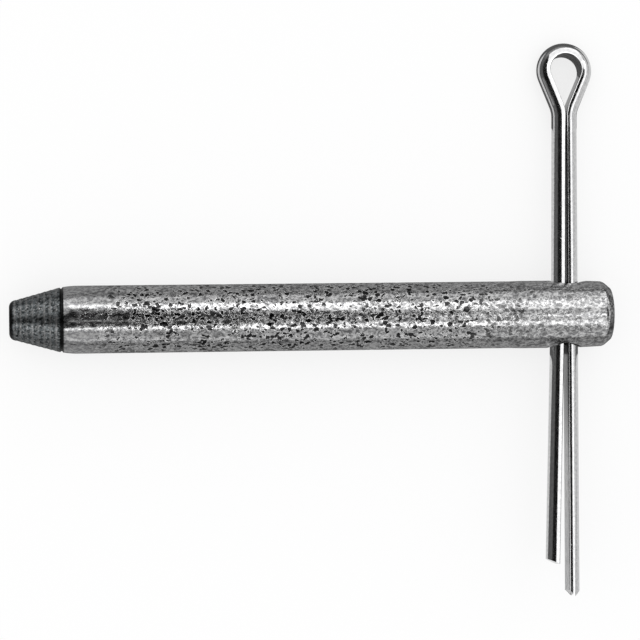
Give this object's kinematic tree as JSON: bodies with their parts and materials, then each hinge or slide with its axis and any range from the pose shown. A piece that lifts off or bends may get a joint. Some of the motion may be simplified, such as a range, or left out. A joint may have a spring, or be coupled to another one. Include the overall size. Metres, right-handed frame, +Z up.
{
  "type": "shear bolt",
  "caption": "Headless shear bolt turned to a lead-in taper at one end and cross-drilled at the other, with a split pin of half-round wire pushed through the hole.",
  "frame": {"origin": "on the bolt's axis, where its working shank starts behind the lead-in taper", "axes": "+X runs along the shank to the drilled butt end, +Y towards the split pin's eye, +Z up from the surface that the bolt lies on"},
  "size_m": [0.0888, 0.0823, 0.0101],
  "materials": {
    "bolt_steel": "turned bar, worn and finely pitted",
    "pin_steel": "drawn half-round wire, bright"
  },
  "bodies": {
    "bolt": {"shear_bolt": "bolt_steel"},
    "split_pin": {"split_pin": "pin_steel"}
  },
  "joints": [
    {"name": "split_pin_slide", "type": "slide", "parent": "bolt", "child": "split_pin", "axis": [-0.0253, -0.9963, 0.0822], "range_m": [0, 0.0255]}
  ]
}
